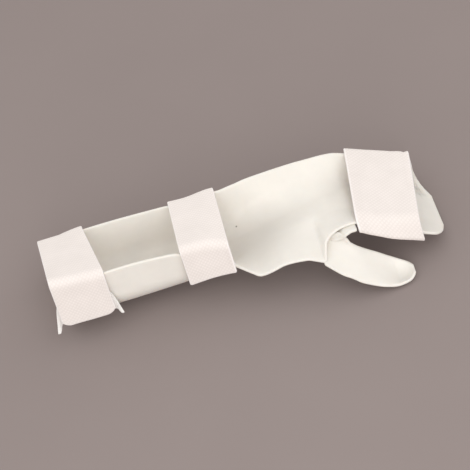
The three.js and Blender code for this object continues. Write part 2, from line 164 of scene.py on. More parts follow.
# Colours in linear red, green and blue; a pair holds the two ends of a mottle
SHEET_TINTS = ((0.79, 0.757, 0.702), (0.84, 0.805, 0.747))
SHEET_CLOUDS = ((0.975, 0.975, 0.975), (1, 1, 1))
# Colour of the painted shade at the palm's wrist end
PAINTED_SHADE_COLOUR = (0.55, 0.52, 0.475)
MARK_COLOUR = (0.12, 0.1, 0.08)
STRAP_TINTS = ((0.85, 0.785, 0.745), (0.89, 0.822, 0.782))
# Painted shade in the straps' grooves: the colour in a groove, then the colour between the grooves
GROOVE_PAINTED_SHADES = ((0.93, 0.925, 0.92), (1, 1, 1))
FUZZ_SHADES = ((0.97, 0.97, 0.97), (1, 1, 1))
FOAM_COLOUR = (0.9, 0.85, 0.825)
HOOK_TINTS = ((0.88, 0.86, 0.83), (0.79, 0.76, 0.73))
FLOOR_TINTS = ((0.272, 0.227, 0.216), (0.287, 0.24, 0.228))

FOREARM_COLUMNS = ["along", "floor", "flat", "bend", "far_out", "far_wall", "near_out", "near_wall"]
FOREARM_SECTIONS = [
    [0.0, 0.0, 0.38, 1.0, 0.98, 0.86, 0.93, 0.88],
    [0.02, 0.0, 0.38, 1.0, 1.0, 0.95, 0.95, 0.97],
    [0.084, 0.0, 0.38, 1.0, 1.04, 1.03, 1.0, 1.03],
    [0.209, 0.0, 0.38, 1.0, 1.06, 1.07, 1.02, 1.05],
    [0.376, 0.0, 0.38, 1.0, 1.04, 1.08, 1.0, 1.05],
    [0.646, 0.0, 0.36, 1.0, 1.0, 1.06, 1.0, 0.98],
    [0.792, 0.03, 0.34, 1.0, 0.98, 1.02, 1.02, 0.74],
    [0.917, 0.1, 0.32, 1.05, 0.98, 1.02, 1.12, 0.42],
    [0.979, 0.16, 0.3, 1.05, 0.98, 0.98, 1.25, 0.22],
]
HAND_COLUMNS = ["along", "rise", "drop", "flat", "bend", "far_out", "far_wall", "near_out", "near_wall"]
HAND_SECTIONS = [
    [0.03, 0.24, 0, 0.22, 1.1, 0.81, 0.96, 1.14, 0.06],
    [0.065, 0.31, 0, 0.22, 1.15, 0.83, 0.93, 1.235, -0.03],
    [0.12, 0.42, 0, 0.2, 1.2, 0.85, 0.9, 1.26, -0.05],
    [0.2, 0.6, 0, 0.2, 1.25, 0.87, 0.82, 1.26, -0.07],
    [0.3, 0.78, 0, 0.2, 1.3, 0.88, 0.74, 1.29, -0.18],
    [0.35, 0.85, 0, 0.2, 1.3, 0.88, 0.71, 1.36, -0.27],
    [0.385, 0.89, 0, 0.2, 1.3, 0.88, 0.69, 1.41, -0.33],
    [0.41, 0.92, 0, 0.22, 1.25, 0.88, 0.67, 1.215, -0.05],
    [0.45, 0.95, 0, 0.24, 1.15, 0.88, 0.65, 1.08, 0.017],
    [0.5, 0.98, 0, 0.28, 1.0, 0.88, 0.63, 1.065, 0.077],
    [0.565, 1.0, 0.02, 0.34, 0.85, 0.88, 0.61, 1.08, 0.12],
    [0.64, 1.0, 0.17, 0.4, 0.7, 0.87, 0.63, 1.1, 0.08],
    [0.74, 1.0, 0.42, 0.45, 0.6, 0.86, 0.67, 1.13, 0.05],
    [0.86, 1.0, 0.71, 0.46, 0.55, 0.84, 0.72, 1.15, 0.08],
    [0.925, 1.0, 0.87, 0.44, 0.55, 0.82, 0.75, 1.12, 0.07],
    [0.945, 1.0, 0.91, 0.42, 0.5, 0.75, 0.32, 1.09, 0.05],
    [0.965, 1.0, 0.95, 0.36, 0.4, 0.63, 0.12, 1.02, 0.03],
    [0.985, 1.0, 0.99, 0.28, 0.3, 0.48, 0.05, 0.85, 0.0],
    [1.0, 1.0, 1.02, 0.22, 0.3, 0.32, 0.02, 0.54, 0.0],
]
THUMB_FIELDS = ["along", "far_out", "far_down", "near_out", "near_down", "sag"]
THUMB_SECTIONS = [
    [0.0, 0.54, -0.24, 0.79, -0.1, 0.0],
    [0.08, 0.52, -0.47, 0.85, 0.06, -0.08],
    [0.19, 0.535, -0.584, 0.913, 0.28, -0.14],
    [0.27, 0.576, -0.664, 0.94, 0.4, -0.11],
    [0.31, 0.65, -0.63, 0.957, 0.47, -0.06],
    [0.35, 0.663, -0.39, 0.975, 0.55, 0.02],
    [0.47, 0.663, -0.07, 0.995, 0.72, 0.1],
    [0.62, 0.668, 0.22, 1.01, 0.89, 0.16],
    [0.78, 0.68, 0.53, 1.0, 1.0, 0.2],
    [0.9, 0.707, 0.72, 0.973, 1.0, 0.14],
    [0.965, 0.75, 0.8, 0.93, 0.95, 0.06],
    [1.0, 0.815, 0.85, 0.87, 0.89, 0.0],
]

# The web, most of it higher and further out than in the solids, to lie closer under the palm's rim
WEB_FIELDS = ["along", "far_out", "far_up", "near_out", "near_up"]
WEB_SECTIONS = [
    [0.0, 0.784, 0.9, 1.06, 0.66],
    [0.23, 0.824, 0.95, 1.14, 0.68],
    [0.43, 0.824, 1.0, 1.21, 0.82],
    [0.59, 0.843, 1.05, 1.26, 0.99],
    [0.76, 0.843, 1.08, 1.235, 1.03],
    [1.0, 0.843, 1.12, 1.26, 1.06],
]


# Curves through the tables

def row_slopes(x, y):
    """Slopes at the points of one column, for a curve that never overshoots them."""
    steps = np.diff(y) / np.diff(x)
    before, after = steps[:-1], steps[1:]
    total = np.where(before * after > 0, before + after, 1)
    inner = np.where(before * after > 0, 2 * before * after / total, 0)
    return np.concatenate([steps[:1], inner, steps[-1:]])


def curve_at(x, values, slopes, at):
    """Value at one place of the smooth curve through one column of a table."""
    i = int(np.clip(np.searchsorted(x, at) - 1, 0, len(x) - 2))
    span = x[i + 1] - x[i]
    t = min(max((at - x[i]) / span, 0), 1)
    a, b = values[i], values[i + 1]
    m, n = slopes[i] * span, slopes[i + 1] * span
    return a + m * t + (3 * (b - a) - 2 * m - n) * t * t + (2 * (a - b) + m + n) * t ** 3


def table_curve(rows):
    """Function of x that gives every column of a table at that place."""
    x = np.array([row["x"] for row in rows], float)
    keys = [key for key in rows[0] if key != "x"]
    values = {key: np.array([row[key] for row in rows], float) for key in keys}
    slopes = {key: row_slopes(x, values[key]) for key in keys}
    return lambda at: {key: curve_at(x, values[key], slopes[key], at) for key in keys}


def forearm_row(s):
    """Measures of one section of the forearm trough, from its shares."""
    floor = s["floor"] * PALM_RISE
    return {
        "x": s["along"] * FOREARM_LENGTH,
        "floor_z": floor,
        "flat": s["flat"] * TROUGH_WIDTH / 2,
        "bend": s["bend"] * TROUGH_BEND,
        "far_y": s["far_out"] * TROUGH_WIDTH / 2,
        "far_z": floor + s["far_wall"] * TROUGH_DEPTH,
        "near_y": -s["near_out"] * TROUGH_WIDTH / 2,
        "near_z": floor + s["near_wall"] * TROUGH_DEPTH,
    }


def hand_row(s):
    """The same for the palm and the finger pan."""
    floor = s["rise"] * PALM_RISE - s["drop"] * FINGER_DROP
    return {
        "x": FOREARM_LENGTH + s["along"] * HAND_LENGTH,
        "floor_z": floor,
        "flat": s["flat"] * PALM_WIDTH / 2,
        "bend": s["bend"] * TROUGH_BEND,
        "far_y": s["far_out"] * PALM_WIDTH / 2,
        "far_z": floor + s["far_wall"] * TROUGH_DEPTH,
        "near_y": -s["near_out"] * PALM_WIDTH / 2,
        "near_z": floor + s["near_wall"] * TROUGH_DEPTH,
    }


THUMB_X = FOREARM_LENGTH + THUMB_ROOT * HAND_LENGTH


def thumb_row(s):
    """The two edges and the sag of one section of the thumb's trough."""
    return {
        "x": THUMB_X + s["along"] * THUMB_LENGTH,
        "far_y": -s["far_out"] * THUMB_OUT,
        "far_z": -s["far_down"] * THUMB_DROP,
        "near_y": -s["near_out"] * THUMB_OUT,
        "near_z": -s["near_down"] * THUMB_DROP,
        "sag": s["sag"] * THUMB_WIDTH,
    }


# Where the finger strap's near end starts, along the splint
SPLINT_LENGTH = FOREARM_LENGTH + HAND_LENGTH
FINGER_SLOPE = math.atan(FINGER_DROP / (HAND_LENGTH * SLOPE_SHARE))
finger_near_run = FINGER_STRAP_NEAR_WIDTH * math.cos(FINGER_SLOPE)
finger_near_start = SPLINT_LENGTH - FINGER_STRAP_NEAR_GAP - finger_near_run
WEB_X = FOREARM_LENGTH + WEB_ROOT * HAND_LENGTH


def web_row(s):
    """The two edges of one section of the web, which has no sag."""
    return {
        "x": WEB_X + s["along"] * (finger_near_start - SHEET / 2 - WEB_X),
        "far_y": -s["far_out"] * PALM_WIDTH / 2,
        "far_z": s["far_up"] * PALM_RISE,
        "near_y": -s["near_out"] * PALM_WIDTH / 2,
        "near_z": s["near_up"] * PALM_RISE,
        "sag": 0,
    }


def named(columns, rows):
    """Each row as a dictionary with the columns' names."""
    return [dict(zip(columns, row)) for row in rows]


shell_rows = [forearm_row(s) for s in named(FOREARM_COLUMNS, FOREARM_SECTIONS)]
shell_rows += [hand_row(s) for s in named(HAND_COLUMNS, HAND_SECTIONS)]
thumb_rows = [thumb_row(s) for s in named(THUMB_FIELDS, THUMB_SECTIONS)]
web_rows = [web_row(s) for s in named(WEB_FIELDS, WEB_SECTIONS)]
shell_at = table_curve(shell_rows)
thumb_at = table_curve(thumb_rows)
web_at = table_curve(web_rows)


# Sections of the moulded sheet's middle surface

def side_points(floor_y, floor_z, bend, rim_y, rim_z, bend_steps=14, wall_steps=8):
    """From the floor's edge, a bend that leaves it level, then a straight wall up to the rim."""
    side = math.copysign(1, rim_y - floor_y)
    lift = math.copysign(1, rim_z - floor_z)
    a = abs(rim_y - floor_y)
    b = abs(rim_z - floor_z)
    radius = min(bend, WIDEST_BEND * (a * a + b * b) / max(2 * b, TINY))
    wall = math.sqrt(max(a * a + (b - radius) ** 2 - radius ** 2, 0))
    turn = math.atan2(b - radius, a) + math.atan2(radius, wall)
    angle = np.linspace(0, turn, bend_steps + 1)[1:]
    y = floor_y + side * radius * np.sin(angle)
    z = floor_z + lift * radius * (1 - np.cos(angle))
    t = np.linspace(0, 1, wall_steps + 1)[1:]
    y = np.concatenate([y, y[-1] + (rim_y - y[-1]) * t])
    z = np.concatenate([z, z[-1] + (rim_z - z[-1]) * t])
    return np.stack([y, z], 1)


def shell_line(x):
    """Section of the shell's middle surface, from the far rim to the near one."""
    s = shell_at(x)
    far = side_points(s["flat"], s["floor_z"], s["bend"], s["far_y"], s["far_z"])
    near = side_points(-s["flat"], s["floor_z"], s["bend"], s["near_y"], s["near_z"])
    level = np.array([[y, s["floor_z"]] for y in np.linspace(s["flat"], -s["flat"], FLOOR_POINTS)])
    return np.concatenate([far[::-1], level, near])


def edged_line(s):
    """A shallow curve behind the line between two edges: a section of the thumb's trough or the web."""
    far = np.array([s["far_y"], s["far_z"]])
    near = np.array([s["near_y"], s["near_z"]])
    chord = (near - far) / np.linalg.norm(near - far)
    behind = np.array([-chord[1], chord[0]])
    t = np.linspace(0, 1, EDGED_POINTS)[:, None]
    return far + (near - far) * t + behind * 4 * t * (1 - t) * s["sag"]


def thumb_line(x):
    return edged_line(thumb_at(x))


def web_line(x):
    return edged_line(web_at(x))


def spaced(line, count, inset=0.0):
    """The line's points set evenly along it, its two ends drawn in."""
    steps = np.linalg.norm(np.diff(line, axis=0), axis=1)
    length = np.concatenate([[0], np.cumsum(steps)])
    inset = min(inset, LARGEST_INSET * length[-1])
    at = np.linspace(inset, length[-1] - inset, count)
    return np.stack([np.interp(at, length, line[:, k]) for k in range(line.shape[1])], 1)


def loft(line_at, table_rows, step, columns, inset):
    """Grid of points over a table's length, rows along X and columns from the far side to the near one."""
    start, end = table_rows[0]["x"], table_rows[-1]["x"]
    rows = max(2, round((end - start) / step) + 1)
    grid = []
    for x in np.linspace(start + inset, end - inset, rows):
        line = spaced(line_at(x), columns, inset)
        grid.append(np.column_stack([np.full(columns, x), line]))
    return np.array(grid)


def faired(grid, rounds, kept_from):
    """The grid's inner points drawn to a taut surface between its edges, less and less towards the tip."""
    share = np.linspace(0, 1, len(grid))[1:-1]
    pull = np.clip((kept_from - share) / kept_from, 0, 1)[:, None, None]
    smooth = grid.copy()
    for _ in range(rounds):
        middle = (smooth[:-2, 1:-1] + smooth[2:, 1:-1] + smooth[1:-1, :-2] + smooth[1:-1, 2:]) / 4
        smooth[1:-1, 1:-1] += pull * (middle - smooth[1:-1, 1:-1])
    return smooth


# Closed sheets with rounded edges

def unit(v):
    """The vectors brought to length one."""
    return v / np.maximum(np.linalg.norm(v, axis=-1, keepdims=True), TINY_LENGTH)


def grid_normals(grid):
    """Normals of the grid, upwards where it lies level."""
    along = np.gradient(grid, axis=0)
    across = np.gradient(grid, axis=1)
    return unit(np.cross(across, along))


def edge_loop(rows, columns):
    """Places in a grid all the way round its border."""
    top = [(0, j) for j in range(columns)]
    right = [(i, columns - 1) for i in range(1, rows)]
    bottom = [(rows - 1, j) for j in range(columns - 2, -1, -1)]
    left = [(i, 0) for i in range(rows - 2, 0, -1)]
    return top + right + bottom + left


def closed_sheet(grid, thickness, relief=None, squareness=1.0):
    """Vertices, faces and a grid coordinate of each vertex, for a sheet around the grid's points."""
    rows, columns = grid.shape[:2]
    half = thickness / 2
    normals = grid_normals(grid)
    upper = grid + normals * half
    if relief is not None:
        upper = upper + normals * relief[..., None]
    lower = grid - normals * half
    vertices = [upper.reshape(-1, 3), lower.reshape(-1, 3)]
    index = np.arange(rows * columns).reshape(rows, columns)
    quads = np.stack([index[:-1, :-1], index[:-1, 1:], index[1:, 1:], index[1:, :-1]], -1)
    quads = quads.reshape(-1, 4)
    faces = [quads, quads[:, ::-1] + rows * columns]

    loop = edge_loop(rows, columns)
    i, j = np.array(loop).T
    edge = grid[i, j]
    edge_normals = normals[i, j]
    ahead = np.roll(edge, -1, axis=0) - np.roll(edge, 1, axis=0)
    out = unit(np.cross(edge_normals, unit(ahead)))
    middle = grid.reshape(-1, 3).mean(0)
    if ((edge - middle) * out).sum() < 0:
        out = -out
    flat = index[i, j]
    rings = [flat]
    first = 2 * rows * columns
    for k in range(1, RIM_STEPS):
        angle = math.pi * k / RIM_STEPS
        rise = math.copysign(abs(math.cos(angle)) ** squareness, math.cos(angle)) * half
        reach = math.sin(angle) ** squareness * half
        vertices.append(edge + edge_normals * rise + out * reach)
        rings.append(first + np.arange(len(loop)))
        first += len(loop)
    rings.append(flat + rows * columns)
    for a, b in zip(rings[:-1], rings[1:]):
        faces.append(np.stack([a, np.roll(a, -1), np.roll(b, -1), b], -1)[:, ::-1])
    coordinate = np.stack(np.meshgrid(np.arange(rows), np.arange(columns), indexing="ij"), -1)
    coordinate = coordinate.reshape(-1, 2)
    coordinates = [coordinate, coordinate] + [np.array(loop)] * (RIM_STEPS - 1)
    return np.concatenate(vertices), np.concatenate(faces), np.concatenate(coordinates)


# Where the straps rest

def rim_rise(rim, below):
    """How far the sheet's face stands above its middle surface at the rim."""
    return SHEET / 2 * abs(rim[0] - below[0]) / np.linalg.norm(rim - below)


def seat_at(x):
    """The shell's section that a strap rests on, kept between the shell's rounded ends."""
    low = END_ROUNDING * FOREARM_LENGTH
    high = FOREARM_LENGTH + FAR_WALL_END * HAND_LENGTH
    at = min(max(x, low), high)
    line = shell_line(at)
    seat = shell_at(at)
    seat["far_top"] = seat["far_z"] + rim_rise(line[0], line[1])
    seat["near_top"] = seat["near_z"] + rim_rise(line[-1], line[-2])
    return seat


# How far a strap's middle stands off the rim's top, a strap's middle off the sheet's middle with a
# tab between them, and a tab's middle off the sheet's middle
OVER_RIM = CLEARANCE + STRAP_THICKNESS / 2
OVER_TAB = SHEET / 2 + CLEARANCE + TAB_THICKNESS + CLEARANCE + STRAP_THICKNESS / 2
OVER_SHEET = SHEET / 2 + CLEARANCE + TAB_THICKNESS / 2


def off_rim(far, near):
    """How far a strap's middle stands off the line between two rims, more where it slopes."""
    return OVER_RIM + SHEET / 2 * abs(far[1] - near[1]) / np.linalg.norm(far - near)


def bent_line(points, offsets, bends, corner_steps=10):
    """The line through the points, each stretch set off to its left, its corners rounded."""
    stretches = []
    for start, end, offset in zip(points[:-1], points[1:], offsets):
        along = (end - start) / np.linalg.norm(end - start)
        out = np.array([-along[1], along[0]]) * offset
        stretches.append((along, start + out, end + out))
    line = [stretches[0][1]]
    for (before, start, _), (after, onward, _), bend in zip(stretches[:-1], stretches[1:], bends):
        cross = before[0] * after[1] - before[1] * after[0]
        gap = onward - start
        corner = start + before * (gap[0] * after[1] - gap[1] * after[0]) / cross
        a, b = corner - before * bend, corner + after * bend
        for t in np.linspace(0, 1, corner_steps + 1):
            line.append((1 - t) ** 2 * a + 2 * t * (1 - t) * corner + t * t * b)
    line.append(stretches[-1][2])
    return np.array(line)


def tray_line(hang, hang_gain, shoulder, shoulder_gain, lean):
    """Down the far wall, straight across to a shoulder over the near rim, and down past the near wall."""
    def line_at(far_x, near_x, lift, share):
        far, near = seat_at(far_x), seat_at(near_x)
        far_rim = np.array([far["far_y"], far["far_top"]])
        near_rim = np.array([near["near_y"], near["near_top"] + shoulder + shoulder_gain * share])
        far_end = np.array([far["far_y"], FAR_HANG + lift])
        near_y = near["near_y"] - HANG_LEAN - lean * share
        near_end = np.array([near_y, hang + hang_gain * share + lift])
        points = [far_end, far_rim, near_rim, near_end]
        return points, [-OVER_TAB, -off_rim(far_rim, near_rim), -OVER_TAB]
    return line_at


def finger_line(far_x, near_x, lift, share):
    """The same for the finger strap, which goes on round the near rim and under the pan."""
    far, near = seat_at(far_x), seat_at(near_x)
    far_end = np.array([far["far_y"] - FINGER_FAR_LEAN, far["far_top"] - FINGER_FAR_HANG + lift])
    far_rim = np.array([far["far_y"], far["far_top"]])
    shoulder_z = near["near_z"] + SHOULDER_LIFT + SHOULDER_GAIN * share
    shoulder = np.array([near["near_y"] + SHOULDER_INSET, shoulder_z])
    near_rim = np.array([near["near_y"] - RIM_LEAN, near["near_z"]])
    under_end = np.array([-near["flat"], near["floor_z"]])
    slant = 1 / math.cos(FINGER_SLOPE)
    points = [far_end, far_rim, shoulder, near_rim, under_end]
    under = (OVER_TAB + UNDER_SLACK) * slant
    return points, [-OVER_TAB, -off_rim(far_rim, shoulder) * slant, -OVER_RIM, -under]


def corner_lift(from_edge, radius):
    """How far a strap's rounded corner is drawn back, by distance from its side."""
    inside = max(radius - from_edge, 0)
    return radius - math.sqrt(max(radius * radius - inside * inside, 0))


def strap_grid(strap):
    """Grid of the strap's middle surface, rows across its width and columns along it."""
    half = STRAP_THICKNESS / 2
    width = strap["near_width"]
    rows = round(width / STRAP_CELL)
    grid = []
    for share in np.linspace(half / width, 1 - half / width, rows):
        far_x = strap["far"] + strap["far_width"] * share
        near_x = strap["near"] + width * share
        lift = corner_lift(min(share, 1 - share) * width, strap["corner"])
        points, offsets = strap["line_at"](far_x, near_x, lift, share)
        line = bent_line(points, offsets, [STRAP_BEND, SHOULDER_BEND, STRAP_BEND])
        start, end = seat_at(far_x)["far_y"], seat_at(near_x)["near_y"]
        reached = np.maximum.accumulate(np.clip((start - line[:, 0]) / (start - end), 0, 1))
        grid.append(np.column_stack([far_x + (near_x - far_x) * reached, line]))
    length = np.linalg.norm(np.diff(grid[rows // 2], axis=0), axis=1).sum()
    columns = round(length / STRAP_CELL)
    return np.array([spaced(line, columns, half) for line in grid]), length


finger_far_run = FINGER_STRAP_WIDTH * math.cos(FINGER_SLOPE)
wrist_start = FOREARM_LENGTH - WRIST_STRAP_GAP - WRIST_STRAP_WIDTH
STRAPS = {
    "forearm_strap": {
        "far": -FOREARM_STRAP_FAR_OVERHANG,
        "near": -FOREARM_STRAP_NEAR_OVERHANG,
        "far_width": FOREARM_STRAP_WIDTH,
        "near_width": FOREARM_STRAP_NEAR_WIDTH,
        "corner": FOREARM_STRAP_CORNER,
        "line_at": tray_line(NEAR_HANG, 0, FOREARM_SHOULDER_LIFT, -FOREARM_SHOULDER_FALL, 0),
    },
    "wrist_strap": {
        "far": wrist_start,
        "near": wrist_start,
        "far_width": WRIST_STRAP_WIDTH,
        "near_width": WRIST_STRAP_WIDTH,
        "corner": STRAP_CORNER,
        "line_at": tray_line(
            WRIST_NEAR_HANG, WRIST_HANG_GAIN, WRIST_SHOULDER_LIFT, WRIST_SHOULDER_GAIN, WRIST_LEAN
        ),
    },
    "finger_strap": {
        "far": SPLINT_LENGTH - FINGER_STRAP_FAR_GAP - finger_far_run,
        "near": finger_near_start,
        "far_width": finger_far_run,
        "near_width": finger_near_run,
        "corner": STRAP_CORNER,
        "line_at": finger_line,
    },
}


def tab_flare(x):
    """How far the near tab curls out: only past the strap's edges, so that the strap stays clear."""
    left = (-FOREARM_STRAP_NEAR_OVERHANG - CORNER_TAB_CLEAR - x) / CORNER_TAB_CURL
    right_edge = FOREARM_STRAP_NEAR_WIDTH - FOREARM_STRAP_NEAR_OVERHANG
    right = (x - right_edge - CORNER_TAB_CLEAR) / CORNER_TAB_CURL
    flare = max(min(left, 1), CORNER_TAB_RIGHT_SHARE * min(right, 1), 0)
    return flare * flare * (3 - 2 * flare)


def corner_tab_grid():
    """The forearm strap's near tab: wider than the strap, its two lower corners curled outwards."""
    middle = FOREARM_STRAP_NEAR_WIDTH / 2 - FOREARM_STRAP_NEAR_OVERHANG
    rows = round(CORNER_TAB_WIDTH / TAB_CELL)
    columns = round((CORNER_TAB_TOP - CORNER_TAB_FOOT) / TAB_CELL)
    grid = np.zeros((rows, columns, 3))
    for i, across in enumerate(np.linspace(0, 1, rows)):
        for j, down in enumerate(np.linspace(0, 1, columns)):
            width = CORNER_TAB_WIDTH - CORNER_TAB_TAPER * (1 - down)
            x = middle + width * (across - 0.5)
            flare = tab_flare(x)
            s = seat_at(x)
            foot = CORNER_TAB_FOOT - CORNER_TAB_DROP * flare
            z = CORNER_TAB_TOP + (foot - CORNER_TAB_TOP) * down
            lean = HANG_LEAN * (s["near_z"] - z) / (s["near_z"] - NEAR_HANG)
            y = s["near_y"] - lean - OVER_SHEET - CORNER_TAB_FLARE * flare * down ** 2
            grid[i, j] = x, y, z
    return grid


# From the splint's frame to the way it rests

REST_TURN = Matrix.Rotation(-REST_ROLL, 4, "X") @ Matrix.Rotation(-REST_PITCH, 4, "Y")


def rest_matrix(outer):
    """Turn to the attitude at rest, and the place that the CAD shell has."""
    turned = outer @ np.array(REST_TURN.to_3x3()).T
    low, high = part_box("splint_shell")
    target = np.array([(low.x + high.x) / 2, (low.y + high.y) / 2, low.z]) / MM
    have = (turned.min(0) + turned.max(0)) / 2
    have[2] = turned[:, 2].min()
    return Matrix.Scale(MM, 4) @ Matrix.Translation(Vector(target - have)) @ REST_TURN


def add_piece(name, vertices, faces, matrix, material, uv=None, edge=None):
    """A mesh object from points in the splint's frame, placed by the matrix."""
    mesh = bpy.data.meshes.new(name)
    points = np.column_stack([vertices, np.ones(len(vertices))]) @ np.array(matrix).T
    mesh.from_pydata(points[:, :3].tolist(), [], faces.tolist())
    if uv is not None:
        layer = mesh.uv_layers.new(name="flat")
        corner = np.zeros(len(mesh.loops), np.int32)
        mesh.loops.foreach_get("vertex_index", corner)
        layer.data.foreach_set("uv", uv[corner].astype(np.float32).ravel())
    if edge is not None:
        mesh.attributes.new(EDGE_MARK, "FLOAT", "POINT").data.foreach_set("value", edge.astype(np.float32))
    mesh.polygons.foreach_set("use_smooth", [True] * len(mesh.polygons))
    mesh.materials.append(material)
    mesh.update()
    piece = bpy.data.objects.new(name, mesh)
    bpy.context.scene.collection.objects.link(piece)
    return piece


# Materials

class Nodes:
    """A material's node tree, with short calls to add and join nodes."""

    def __init__(self, name):
        self.material = bpy.data.materials.new(name)
        self.material.use_nodes = True
        self.tree = self.material.node_tree
        self.shader = self.tree.nodes["Principled BSDF"]

    def add(self, kind, **settings):
        """A new node, with its properties and inputs set by name."""
        node = self.tree.nodes.new(kind)
        for key, value in settings.items():
            if hasattr(node, key):
                setattr(node, key, value)
            else:
                node.inputs[key].default_value = value
        return node

    def join(self, source, target):
        self.tree.links.new(source, target)

    def noise(self, place, scale, detail):
        node = self.add("ShaderNodeTexNoise", Scale=scale, Detail=detail, Roughness=0.55)
        self.join(place, node.inputs["Vector"])
        return node.outputs["Fac"]

    def ramp(self, value, ends, colours):
        """From the first colour to the second, as the value goes from one end to the other."""
        node = self.add("ShaderNodeValToRGB")
        for element, end, colour in zip(node.color_ramp.elements, ends, colours):
            element.position = end
            element.color = (*colour, 1)
        self.join(value, node.inputs["Fac"])
        return node.outputs["Color"]

    def math(self, operation, first, second):
        """One operation on two values, each a number or a node's output."""
        node = self.add("ShaderNodeMath", operation=operation)
        for slot, value in zip(node.inputs, (first, second)):
            if hasattr(value, "links"):
                self.join(value, slot)
            else:
                slot.default_value = value
        return node.outputs[0]

    def mix(self, factor, first, second, blend="MIX"):
        """Two colours mixed, each given as a colour or a node's output."""
        node = self.add("ShaderNodeMix", data_type="RGBA", blend_type=blend)
        if hasattr(factor, "links"):
            self.join(factor, node.inputs[0])
        else:
            node.inputs[0].default_value = factor
        for slot, value in ((node.inputs[6], first), (node.inputs[7], second)):
            if hasattr(value, "links"):
                self.join(value, slot)
            else:
                slot.default_value = (*value, 1)
        return node.outputs[2]

    def bump(self, layers):
        """Bump from (height, strength, distance) layers, one on top of the other."""
        normal = None
        for height, strength, distance in layers:
            node = self.add("ShaderNodeBump", Strength=strength, Distance=distance)
            self.join(height, node.inputs["Height"])
            if normal is not None:
                self.join(normal, node.inputs["Normal"])
            normal = node.outputs["Normal"]
        self.join(normal, self.shader.inputs["Normal"])


def object_coordinates(nodes):
    return nodes.add("ShaderNodeTexCoord").outputs["Object"]


def nearness(nodes, place, centre, full, none, strength):
    """A value that falls smoothly from the strength to nothing with the distance from a point."""
    distance = nodes.add("ShaderNodeVectorMath", operation="DISTANCE")
    nodes.join(place, distance.inputs[0])
    distance.inputs[1].default_value = centre
    fall = nodes.add("ShaderNodeMapRange", interpolation_type="SMOOTHSTEP")
    nodes.join(distance.outputs["Value"], fall.inputs["Value"])
    fall.inputs["From Min"].default_value = full
    fall.inputs["From Max"].default_value = none
    fall.inputs["To Min"].default_value = strength
    fall.inputs["To Max"].default_value = 0.0
    return fall.outputs[0]


def moulded_sheet(mark, painted_shade_patch):
    """Warm white thermoplastic: faintly mottled, a patch of painted shade and one small dark mark."""
    nodes = Nodes("moulded_sheet")
    place = object_coordinates(nodes)
    tint = nodes.ramp(nodes.noise(place, scale=22, detail=3), (0.3, 0.7), SHEET_TINTS)
    cloud = nodes.ramp(nodes.noise(place, scale=60, detail=4), (0.35, 0.65), SHEET_CLOUDS)
    colour = nodes.mix(1.0, tint, cloud, "MULTIPLY")
    # Painted shade: the sheet darker in a soft patch at the palm's wrist end, where the hollow's shade
    # falls
    painted_shade = nearness(nodes, place, painted_shade_patch, full=0.005, none=0.062, strength=0.55)
    colour = nodes.mix(painted_shade, colour, PAINTED_SHADE_COLOUR)
    dark = nearness(nodes, place, mark, full=0.0004, none=0.0014, strength=0.85)
    colour = nodes.mix(dark, colour, MARK_COLOUR)
    nodes.join(colour, nodes.shader.inputs["Base Color"])
    rough = nodes.add("ShaderNodeMapRange")
    nodes.join(nodes.noise(place, scale=90, detail=5), rough.inputs["Value"])
    rough.inputs["To Min"].default_value = 0.38
    rough.inputs["To Max"].default_value = 0.55
    nodes.join(rough.outputs[0], nodes.shader.inputs["Roughness"])
    nodes.shader.inputs["IOR"].default_value = 1.47
    nodes.shader.inputs["Subsurface Weight"].default_value = 0.12
    nodes.shader.inputs["Subsurface Radius"].default_value = (0.004, 0.003, 0.0022)
    nodes.shader.inputs["Subsurface Scale"].default_value = 1.0
    nodes.bump([
        (nodes.noise(place, scale=28, detail=2), 0.35, 0.0012),
        (nodes.noise(place, scale=900, detail=3), 0.12, 0.0002),
    ])
    return nodes.material


def strap_fabric():
    """Foam-backed loop fabric: pinkish white, a lattice of grooves on both diagonals, fine fuzz."""
    nodes = Nodes("strap_padding")
    place = nodes.add("ShaderNodeUVMap", uv_map="flat").outputs["UV"]
    lattice = None
    for turn in (45, -45):
        mapping = nodes.add("ShaderNodeMapping")
        mapping.inputs["Rotation"].default_value = (0, 0, math.radians(turn))
        nodes.join(place, mapping.inputs["Vector"])
        wave = nodes.add("ShaderNodeTexWave", Scale=WAVE_PERIOD / LATTICE_PITCH, Distortion=0.6)
        wave.inputs["Detail Scale"].default_value = 0.4
        nodes.join(mapping.outputs[0], wave.inputs["Vector"])
        lines = wave.outputs["Fac"]
        lattice = lines if lattice is None else nodes.math("MULTIPLY", lattice, lines)
    body = object_coordinates(nodes)
    fuzz = nodes.noise(body, scale=1500, detail=4)
    patch = nodes.ramp(nodes.noise(body, scale=45, detail=3), (0.3, 0.7), STRAP_TINTS)
    # Painted shade: the fabric a little darker along the lattice's grooves
    painted_groove_shade = nodes.ramp(lattice, (0.0, 0.55), GROOVE_PAINTED_SHADES)
    colour = nodes.mix(1.0, patch, painted_groove_shade, "MULTIPLY")
    specks = nodes.ramp(fuzz, (0.3, 0.65), FUZZ_SHADES)
    woven = nodes.mix(1.0, colour, specks, "MULTIPLY")
    edge = nodes.add("ShaderNodeAttribute", attribute_name=EDGE_MARK).outputs["Fac"]
    nodes.join(nodes.mix(edge, woven, FOAM_COLOUR), nodes.shader.inputs["Base Color"])
    nodes.shader.inputs["Roughness"].default_value = 0.95
    nodes.shader.inputs["Sheen Weight"].default_value = 0.25
    nodes.shader.inputs["Sheen Roughness"].default_value = 0.5
    nodes.shader.inputs["Specular IOR Level"].default_value = 0.2
    weave = nodes.math("MULTIPLY", lattice, nodes.math("SUBTRACT", 1.0, edge))
    nodes.bump([(weave, 0.18, 0.0002), (fuzz, 0.2, 0.0002)])
    return nodes.material


